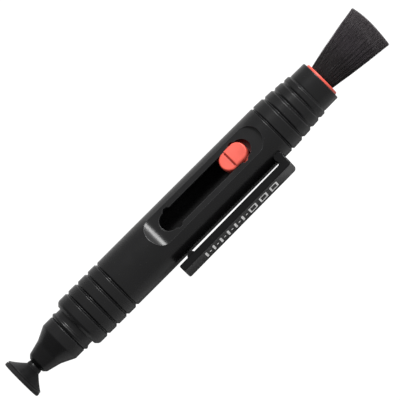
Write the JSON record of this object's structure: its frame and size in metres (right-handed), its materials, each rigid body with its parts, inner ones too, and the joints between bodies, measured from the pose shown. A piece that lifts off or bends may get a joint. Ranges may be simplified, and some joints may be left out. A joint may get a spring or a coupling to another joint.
{
  "type": "lens cleaning pen",
  "caption": "Lens cleaning pen: a ribbed barrel with a pocket clip, a tilting round wiping tip, and a soft flared brush that slides out by a thumb button.",
  "frame": {"origin": "on the pen's axis at the rear of the cap's spigot on the nose cone", "axes": "+X along the pen from the wiping tip to the brush, +Z the side of the thumb slot, the pocket clip on the -Y side"},
  "size_m": [0.1322, 0.0201, 0.0156],
  "materials": {
    "chamois": "fine suede nap charged with carbon",
    "adhesive": "cured glue",
    "stiff_plastic": "natural black acetal",
    "tip_rubber": "satin black rubber",
    "black_plastic": "satin moulded black",
    "coral_plastic": "coral red moulded",
    "red_plastic": "red moulded",
    "spring_steel": "bare spring strip",
    "binding_thread": "waxed thread",
    "hair": "dark goat hair"
  },
  "bodies": {
    "barrel": {"barrel_tube": "black_plastic", "barrel_plug": "black_plastic", "nose_cone": "black_plastic", "tip_socket": "stiff_plastic", "socket_retainer": "stiff_plastic"},
    "stem": {"tip_stem": "stiff_plastic"},
    "tip": {"tip_cup": "tip_rubber", "pad_backing": "stiff_plastic", "pad_adhesive": "adhesive", "cleaning_pad": "chamois"},
    "clip": {"pocket_clip": "black_plastic"},
    "carriage": {"brush_carriage": "red_plastic", "brush_root": "adhesive", "brush_binding": "binding_thread", "brush_ferrule": "coral_plastic", "brush_hair": "hair", "button_spring": "spring_steel"},
    "button": {"slide_button": "coral_plastic"}
  },
  "joints": [
    {"name": "tip_turn", "type": "hinge", "parent": "barrel", "child": "stem", "pos_m": [-0.0126, 0, 0], "axis": [1, 0, 0], "range_deg": [-90, 90]},
    {"name": "tip_tilt", "type": "hinge", "parent": "stem", "child": "tip", "pos_m": [-0.0126, 0, 0], "axis": [0, 1, 0], "range_deg": [-15, 15], "stiffness_Nm_per_rad": 0.004},
    {"name": "clip_flex", "type": "hinge", "parent": "barrel", "child": "clip", "pos_m": [0.0725, -0.0079, 0], "axis": [0, 0, 1], "range_deg": [0, 4.5], "stiffness_Nm_per_rad": 0.6},
    {"name": "brush_slide", "type": "slide", "parent": "barrel", "child": "carriage", "axis": [-1, 0, 0], "range_m": [0, 0.0209], "deforming": ["brush_hair"]},
    {"name": "button_press", "type": "slide", "parent": "carriage", "child": "button", "axis": [0, 0, -1], "range_m": [0, 0.0008], "stiffness_N_per_m": 1200, "deforming": ["button_spring"]}
  ]
}
